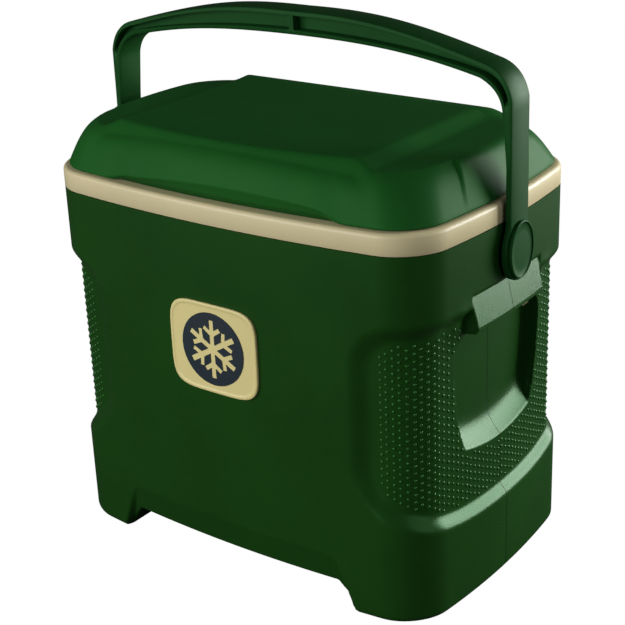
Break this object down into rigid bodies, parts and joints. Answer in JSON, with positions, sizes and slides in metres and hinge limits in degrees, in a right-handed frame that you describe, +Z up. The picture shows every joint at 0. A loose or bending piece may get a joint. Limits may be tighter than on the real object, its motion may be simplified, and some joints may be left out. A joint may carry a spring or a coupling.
{
  "type": "picnic ice chest",
  "caption": "Insulated hard-sided ice chest with a hinged lid, a foamed shell and tub, end hand-holds and a swing-up bail handle.",
  "frame": {"origin": "centre of the footprint at the ground, under the middle of the bounding box", "axes": "+X along the long side to the right, +Y from the front face to the hinges, +Z up"},
  "size_m": [0.4542, 0.2961, 0.5081],
  "materials": {
    "shell_green": "fine pebble grain, satin",
    "lid_green": "smooth satin",
    "handle_green": "smooth satin",
    "cream": "smooth, slightly glossy",
    "navy": "printed, satin",
    "foam": "rigid polyurethane foam, open grain",
    "steel": "zinc plated",
    "nylon_black": "moulded nylon"
  },
  "bodies": {
    "chest": {"outer_shell": "shell_green", "tub_and_rim": "cream", "body_foam": "foam", "badge_plate": "cream", "badge_emblem": "navy", "hinge_body_leaf_left": "cream", "hinge_pin_left": "steel", "hinge_screw_body_left_a": "steel", "hinge_screw_body_left_b": "steel", "pivot_bush_left": "nylon_black", "pivot_pin_left": "steel", "hinge_body_leaf_right": "cream", "hinge_pin_right": "steel", "hinge_screw_body_right_a": "steel", "hinge_screw_body_right_b": "steel", "pivot_bush_right": "nylon_black", "pivot_pin_right": "steel"},
    "lid": {"lid_cover": "lid_green", "lid_pan": "cream", "lid_foam": "foam", "hinge_lid_leaf_left": "cream", "hinge_screw_lid_left_a": "steel", "hinge_screw_lid_left_b": "steel", "hinge_lid_leaf_right": "cream", "hinge_screw_lid_right_a": "steel", "hinge_screw_lid_right_b": "steel"},
    "bail": {"bail_handle": "handle_green", "pivot_cap_left": "handle_green", "pivot_cap_right": "handle_green"}
  },
  "joints": [
    {"name": "lid_hinge", "type": "hinge", "parent": "chest", "child": "lid", "pos_m": [0, 0.142, 0.3678], "axis": [-1, 0, 0], "range_deg": [0, 65]},
    {"name": "bail_swing", "type": "hinge", "parent": "chest", "child": "bail", "pos_m": [0, 0, 0.321], "axis": [-1, 0, 0], "range_deg": [-102, 114]}
  ],
  "couplings": [
    {"joint": "bail_swing", "follows": "lid_hinge", "ratio": 1.75}
  ]
}
